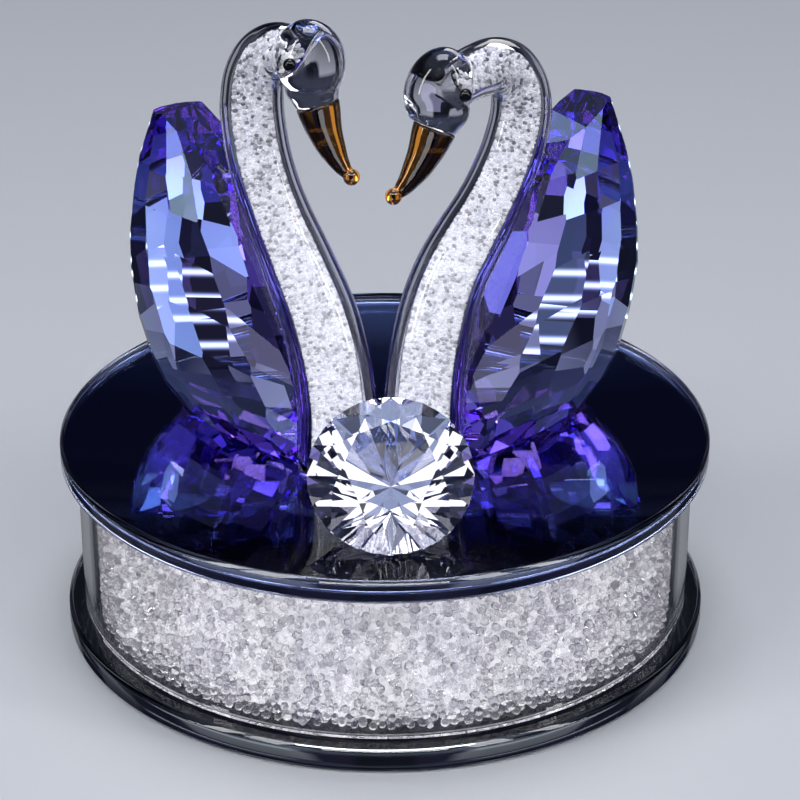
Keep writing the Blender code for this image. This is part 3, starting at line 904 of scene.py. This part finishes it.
def swanPlace(side, pose):
    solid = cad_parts[side + "_swan_neck"]
    points = [vertex.co for vertex in solid.data.vertices]
    floor = min(point.z for point in points)
    foot = [point for point in points if point.z < floor + neckLook["footBand"]]
    centre = sum(foot, Vector()) / len(foot)
    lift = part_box(side + "_swan_body")[0].z
    return (Matrix.Translation((centre.x, centre.y, lift))
            @ Matrix.Rotation(math.radians(pose["turn"]), 4, "Z"))


def headPlace(side, pose):
    forward, height = pose["head"]
    return (swanPlace(side, pose) @ Matrix.Translation((forward * swanUnit, 0, height * swanUnit))
            @ Matrix.Rotation(math.radians(pose["faces"] * pose["headTurn"]), 4, "Z"))


def axisTurn(tilt):
    return Matrix.Rotation(math.pi / 2 + math.radians(tilt), 4, "Y")


def faceFrame(pose):
    tilt = math.radians(pose["beakTilt"])
    axis = Vector((math.cos(tilt), 0, -math.sin(tilt)))
    root = Vector((pose["beakRoot"][0], 0, pose["beakRoot"][1])) * swanUnit
    return root, axis, Vector((-axis.z, 0, axis.x))


def scaledLine(points, share=1.0):
    return [(forward * swanUnit, height * swanUnit, radius * share * swanUnit)
            for forward, height, radius in points]


def ellipsoid(name, pose, place):
    bm = bmesh.new()
    bmesh.ops.create_uvsphere(bm, u_segments=neckLook["headSegments"],
                              v_segments=neckLook["headRings"], radius=1.0)
    radius = pose["headRadius"] * swanUnit
    size = Matrix.Diagonal((radius, radius, pose["headHalfLength"] * swanUnit, 1))
    bm.transform(place @ axisTurn(pose["headTilt"]) @ size)
    return freshObject(name, bm)


def faceTube(name, pose, place):
    root, axis = faceFrame(pose)[:2]
    line = []
    for back, swell in faceStub:
        point = root - axis * back * swanUnit
        line.append((point.x, point.z, beakLine[0][2] * swell * swanUnit))
    tube = smoothTube(name, line, neckLook["stubSides"], neckLook["stubSteps"])
    tube.data.transform(place)
    return tube


def seatBlock(name, pose, place):
    root, axis = faceFrame(pose)[:2]
    depth = neckLook["seatDepth"] * swanUnit
    radius = 2 * beakLine[0][2] * swanUnit
    bm = bmesh.new()
    bmesh.ops.create_cone(bm, cap_ends=True, segments=neckLook["seatSides"], radius1=radius,
                          radius2=radius, depth=depth)
    bm.transform(place @ Matrix.Translation(root + axis * depth / 2) @ axisTurn(pose["beakTilt"]))
    return freshObject(name, bm)


def boreLine(pose):
    line = pose["neck"]
    foot = (line[0][0], neckLook["floorGlass"], line[0][2])
    end = pose["cavityEnd"] + (line[-1][2] * neckLook["boreEndShare"],)
    return [foot, *line[1:-1], end]


def bore(name, pose, place, inset=0.0):
    line = scaledLine(boreLine(pose), neckLook["boreShare"])
    line = [(forward, height, radius - inset) for forward, height, radius in line]
    foot = line[0]
    line[0] = (foot[0], foot[1] + inset, foot[2])
    tube = smoothTube(name, line, neckLook["boreSides"], neckLook["steps"])
    tube.data.transform(place)
    return tube


def makeNeck(side, pose):
    place = swanPlace(side, pose)
    head = headPlace(side, pose)
    neck = smoothTube("tube", scaledLine(pose["neck"]), neckLook["sides"], neckLook["steps"])
    neck.data.transform(place)
    bulb = ellipsoid("bulb", pose, head)
    stub = faceTube("stub", pose, head)
    block = seatBlock("block", pose, head)
    joinSolid(neck, bulb, "UNION")
    joinSolid(neck, stub, "UNION")
    joinSolid(neck, block, "DIFFERENCE")
    meltTogether(neck, neckLook["voxel"], neckLook["polish"])
    settle(neck)
    discard(bulb, stub, block)
    hollow = bore("hollow", pose, place)
    hollow.data.flip_normals()
    whole = joined(side + "SwanNeck", [neck, hollow])
    whole.data.shade_smooth()
    present(whole, neckGlass, "neck_glass", side + "_swan_neck")
    seenBy(whole, "necks", "notFront")
    whole.visible_shadow = False            # the lamps reach the chips inside
    print(side, "neck:", len(whole.data.polygons), "faces")
    size = neckLook["chipSize"]
    first, step = neckLook["firstInset"], neckLook["layerStep"]
    layers = []
    for layer in range(neckLook["layers"]):
        shell = bore("shell", pose, place, size * (first + step * layer))
        layers.append(chipLayer("layer", shell, sharpChips, {
            "Spacing": neckLook["chipSpacing"], "Chip Size": size,
            "Seed": neckLook["seed"] + layer * chipTreeValues["seedStep"]}))
    mass = joined(side + "NeckChips", layers)
    present(mass, sharpGrit, "crystal_chips")
    print(side, "neck chips:", len(mass.data.polygons), "faces")
    inset = size * (first + step * neckLook["layers"] - neckLook["heartOverlap"])
    core = bore(side + "NeckChipHeart", pose, place, inset)
    core.data.shade_smooth()
    present(core, heart, "crystal_chips")


def makeBeak(side, pose):
    place = headPlace(side, pose)
    root, axis, upward = faceFrame(pose)
    root = root + axis * beakLook["gap"]
    line = []
    for along, across, radius in beakLine:
        point = root + (axis * along + upward * across) * swanUnit
        line.append((point.x, point.z, radius * swanUnit))
    beak = smoothTube(side + "SwanBeak", line, beakLook["sides"], beakLook["steps"])
    beak.data.transform(place)
    bm = bmesh.new()
    bmesh.ops.create_uvsphere(bm, u_segments=beakLook["ballSegments"],
                              v_segments=beakLook["ballRings"], radius=beakLook["ballRadius"])
    bm.transform(place @ Matrix.Translation((line[-1][0], 0, line[-1][1])))
    ball = freshObject("ball", bm)
    joinSolid(beak, ball, "UNION")
    meltTogether(beak, beakLook["voxel"], beakLook["polish"])
    settle(beak)
    discard(ball)
    beak.data.shade_smooth()
    centre = place @ Vector((line[-1][0], 0, line[-1][1]))
    tip = beak.data.attributes.new("tip", "FLOAT", "POINT")
    for vertex, share in zip(beak.data.vertices, tip.data):
        share.value = 1.0 if (vertex.co - centre).length < beakLook["ballReach"] else 0.0
    present(beak, amberGlass, "amber_glass", side + "_swan_beak")
    seenBy(beak, side + "Beak")


def makeEyes(side):
    for eye in ("left", "right"):
        node = side + "_swan_" + eye + "_eye"
        low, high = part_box(node)
        bm = bmesh.new()
        bmesh.ops.create_uvsphere(bm, u_segments=eyeLook["segments"], v_segments=eyeLook["rings"],
                                  radius=(high.z - low.z) / 2)
        bm.transform(Matrix.Translation((low + high) / 2))
        ball = freshObject(side + "Swan" + eye.capitalize() + "Eye", bm, smooth=True)
        present(ball, bead, "black_glass", node)


for side, pose in swans.items():
    makeNeck(side, pose)
    makeBeak(side, pose)
    makeEyes(side)
print("swans ready")
